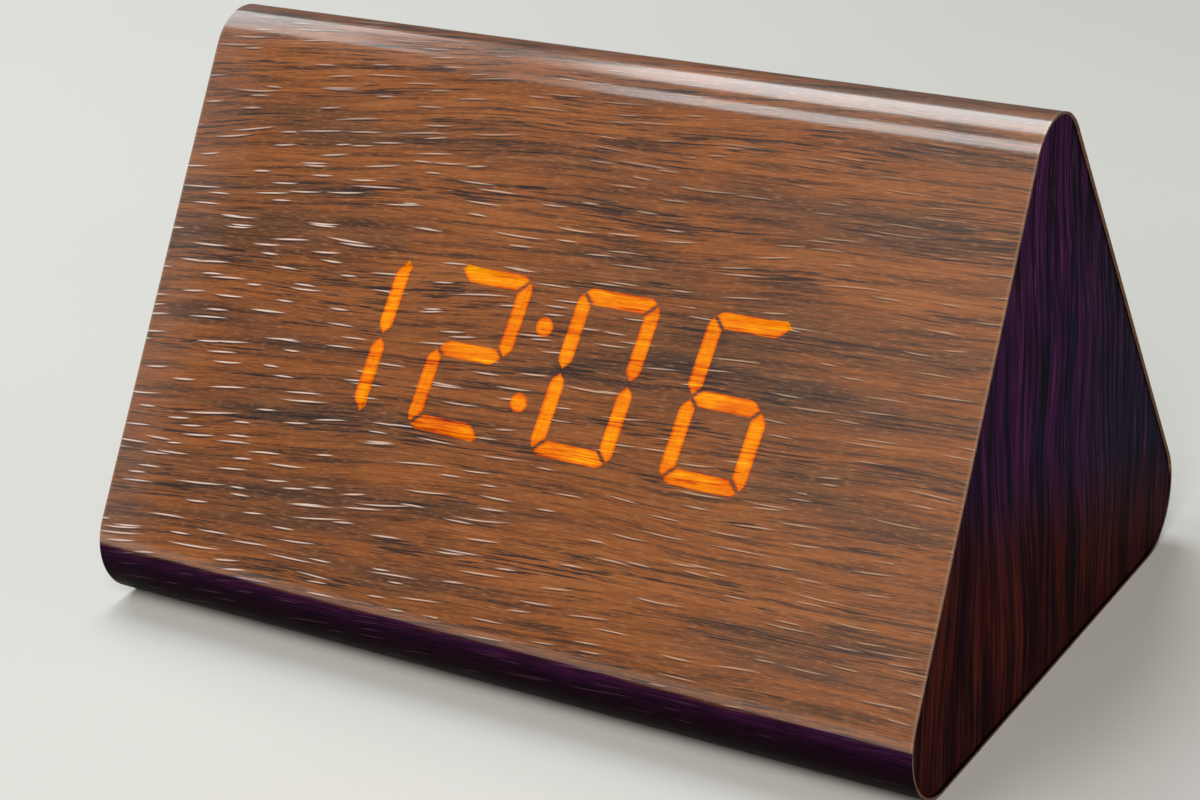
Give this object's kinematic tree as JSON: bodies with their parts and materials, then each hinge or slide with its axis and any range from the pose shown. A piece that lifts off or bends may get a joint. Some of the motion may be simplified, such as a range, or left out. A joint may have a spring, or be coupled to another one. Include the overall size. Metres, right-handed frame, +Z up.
{
  "type": "digital alarm clock",
  "caption": "Triangular wood-effect table clock whose numerals shine through the front film, with buttons, a power socket and a battery bay at the rear.",
  "frame": {"origin": "middle of the base, on the table", "axes": "+X along the case to the right seen from the front, -Y towards the front, +Z up"},
  "size_m": [0.125, 0.0854, 0.0763],
  "materials": {
    "wood_film": "satin film printed and embossed with walnut grain",
    "end_film": "satin dark wood-grain film",
    "fibreboard": "raw cut board",
    "white_housing": "moulded",
    "lit_segment": "glowing diffuser",
    "unlit_segment": "milky diffuser",
    "led_body": "clear yellow lens",
    "circuit_board": "green solder mask",
    "steel": "zinc plated",
    "ivory_plastic": "moulded",
    "ribbon": "flat cable",
    "chip_black": "moulded",
    "bare_can": "drawn can",
    "coin_steel": "stamped",
    "ceramic_parts": "fired chips",
    "plated_steel": "nickel plated",
    "button_plastic": "moulded",
    "panel_plastic": "fine spark texture",
    "cell_jacket": "printed jacket",
    "red_wire": "insulation",
    "black_wire": "insulation"
  },
  "bodies": {
    "case": {"veneer_wrap": "wood_film", "front_board": "fibreboard", "rear_board": "fibreboard", "base_board": "fibreboard", "left_end_panel": "fibreboard", "right_end_panel": "fibreboard", "left_end_veneer": "end_film", "right_end_veneer": "end_film", "display_housing": "white_housing", "lit_light_bars": "lit_segment", "unlit_light_bars": "unlit_segment", "segment_leds": "led_body", "display_board": "circuit_board", "display_screws": "steel", "display_socket": "ivory_plastic", "ribbon_cable": "ribbon", "driver_chip": "chip_black", "main_board": "circuit_board", "main_socket": "ivory_plastic", "clock_chip": "chip_black", "crystal": "bare_can", "cell_holder": "chip_black", "backup_cell": "coin_steel", "reservoir_capacitor": "bare_can", "small_components": "ceramic_parts", "sounder": "chip_black", "microphone": "bare_can", "thermistor": "chip_black", "usb_shell": "plated_steel", "usb_tongue": "chip_black", "set_switch": "chip_black", "up_switch": "chip_black", "down_switch": "chip_black", "rear_panel": "panel_plastic", "panel_screws": "steel", "board_screws": "steel", "battery_1": "cell_jacket", "battery_2": "cell_jacket", "battery_3": "cell_jacket", "battery_4": "cell_jacket", "battery_springs": "plated_steel", "battery_contacts": "plated_steel", "battery_lead_positive": "red_wire", "battery_lead_negative": "black_wire"},
    "set_button": {"set_button": "button_plastic", "set_plunger": "ivory_plastic"},
    "up_button": {"up_button": "button_plastic", "up_plunger": "ivory_plastic"},
    "down_button": {"down_button": "button_plastic", "down_plunger": "ivory_plastic"},
    "battery_door": {"battery_door": "panel_plastic"}
  },
  "joints": [
    {"name": "set_press", "type": "slide", "parent": "case", "child": "set_button", "axis": [0, -0.8609, -0.5088], "range_m": [0, 0.0006], "stiffness_N_per_m": 900},
    {"name": "up_press", "type": "slide", "parent": "case", "child": "up_button", "axis": [0, -0.8609, -0.5088], "range_m": [0, 0.0006], "stiffness_N_per_m": 900},
    {"name": "down_press", "type": "slide", "parent": "case", "child": "down_button", "axis": [0, -0.8609, -0.5088], "range_m": [0, 0.0006], "stiffness_N_per_m": 900},
    {"name": "battery_door_hinge", "type": "hinge", "parent": "case", "child": "battery_door", "pos_m": [-0.0213, 0.03424, 0.02345], "axis": [-1, 0, 0], "range_deg": [0, 75]}
  ]
}
